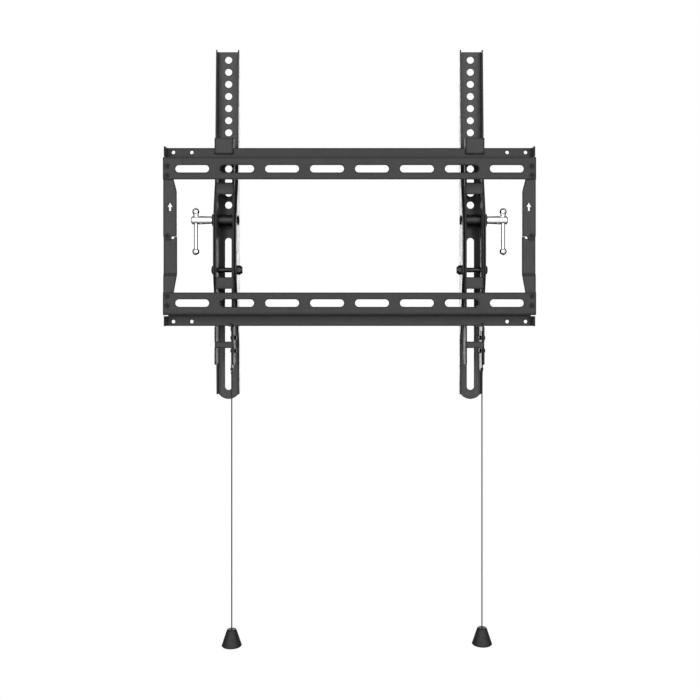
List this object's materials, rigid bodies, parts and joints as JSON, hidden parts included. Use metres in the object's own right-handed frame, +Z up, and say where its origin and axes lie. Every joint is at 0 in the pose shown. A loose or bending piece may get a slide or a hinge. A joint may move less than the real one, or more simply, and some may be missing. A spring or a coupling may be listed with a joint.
{
  "type": "tv wall mount",
  "caption": "Black steel tilting wall mount for a flat television: slotted rail frame, perforated arms on hook brackets, chrome tilt clamps, latches with pull cords.",
  "frame": {"origin": "middle of the wall-fixing slots, on the wall surface", "axes": "+Y out of the wall towards the television, +Z up, +X to the right as seen from the wall side"},
  "size_m": [0.44, 0.056, 0.7225],
  "materials": {
    "powder_coat": "fine-textured black powder coat",
    "bracket_coat": "satin black powder coat",
    "chrome_plate": "bright chrome plate",
    "black_zinc": "black zinc plate, semi-gloss",
    "latch_steel": "black powder coat",
    "spring_steel": "bright drawn wire",
    "cord_braid": "black braided polyester",
    "weight_plastic": "matte moulded black plastic"
  },
  "bodies": {
    "wall_plate": {"top_rail": "powder_coat", "bottom_rail": "powder_coat", "left_upper_upright": "powder_coat", "left_lower_upright": "powder_coat", "right_upper_upright": "powder_coat", "right_lower_upright": "powder_coat", "left_rail_rivets": "black_zinc", "right_rail_rivets": "black_zinc", "left_lap_rivet": "black_zinc", "right_lap_rivet": "black_zinc"},
    "left_bracket": {"left_hook_bracket": "bracket_coat", "left_pivot_bolt": "black_zinc", "left_pivot_nut": "black_zinc", "left_pivot_washers": "black_zinc", "left_clamp_screw": "black_zinc", "left_clamp_spacer": "black_zinc", "left_clamp_washers": "black_zinc", "left_clamp_end_washer": "black_zinc", "left_latch_rivets": "black_zinc", "left_latch_spring": "spring_steel"},
    "left_arm": {"left_tv_arm": "powder_coat"},
    "left_barrel": {"left_clamp_barrel": "chrome_plate"},
    "left_bar": {"left_clamp_bar": "chrome_plate"},
    "left_latch": {"left_latch_plate": "latch_steel", "left_cord_knot": "cord_braid", "left_pull_cord": "cord_braid", "left_cord_weight": "weight_plastic"},
    "right_bracket": {"right_hook_bracket": "bracket_coat", "right_pivot_bolt": "black_zinc", "right_pivot_nut": "black_zinc", "right_pivot_washers": "black_zinc", "right_clamp_screw": "black_zinc", "right_clamp_spacer": "black_zinc", "right_clamp_washers": "black_zinc", "right_clamp_end_washer": "black_zinc", "right_latch_rivets": "black_zinc", "right_latch_spring": "spring_steel"},
    "right_arm": {"right_tv_arm": "powder_coat"},
    "right_barrel": {"right_clamp_barrel": "chrome_plate"},
    "right_bar": {"right_clamp_bar": "chrome_plate"},
    "right_latch": {"right_latch_plate": "latch_steel", "right_cord_knot": "cord_braid", "right_pull_cord": "cord_braid", "right_cord_weight": "weight_plastic"}
  },
  "joints": [
    {"name": "left_rail_slide", "type": "slide", "parent": "wall_plate", "child": "left_bracket", "axis": [1, 0, 0], "range_m": [-0.056, 0.125]},
    {"name": "left_tilt", "type": "hinge", "parent": "left_bracket", "child": "left_arm", "pos_m": [-0.15, 0.029, -0.039], "axis": [-1, 0, 0], "range_deg": [0, 8]},
    {"name": "left_barrel_turn", "type": "hinge", "parent": "left_bracket", "child": "left_barrel", "pos_m": [-0.1671, 0.036, 0.022], "axis": [1, 0, 0], "continuous": true},
    {"name": "left_bar_slide", "type": "slide", "parent": "left_barrel", "child": "left_bar", "axis": [0, 0, 1], "range_m": [0, 0.0285]},
    {"name": "left_latch_pull", "type": "slide", "parent": "left_bracket", "child": "left_latch", "axis": [0, 0, -1], "range_m": [0, 0.007], "stiffness_N_per_m": 300, "springref_m": -0.01, "deforming": ["left_latch_spring"]},
    {"name": "right_rail_slide", "type": "slide", "parent": "wall_plate", "child": "right_bracket", "axis": [1, 0, 0], "range_m": [-0.125, 0.056]},
    {"name": "right_tilt", "type": "hinge", "parent": "right_bracket", "child": "right_arm", "pos_m": [0.15, 0.029, -0.039], "axis": [-1, 0, 0], "range_deg": [0, 8]},
    {"name": "right_barrel_turn", "type": "hinge", "parent": "right_bracket", "child": "right_barrel", "pos_m": [0.1671, 0.036, 0.022], "axis": [1, 0, 0], "continuous": true},
    {"name": "right_bar_slide", "type": "slide", "parent": "right_barrel", "child": "right_bar", "axis": [0, 0, 1], "range_m": [0, 0.0285]},
    {"name": "right_latch_pull", "type": "slide", "parent": "right_bracket", "child": "right_latch", "axis": [0, 0, -1], "range_m": [0, 0.007], "stiffness_N_per_m": 300, "springref_m": -0.01, "deforming": ["right_latch_spring"]}
  ]
}
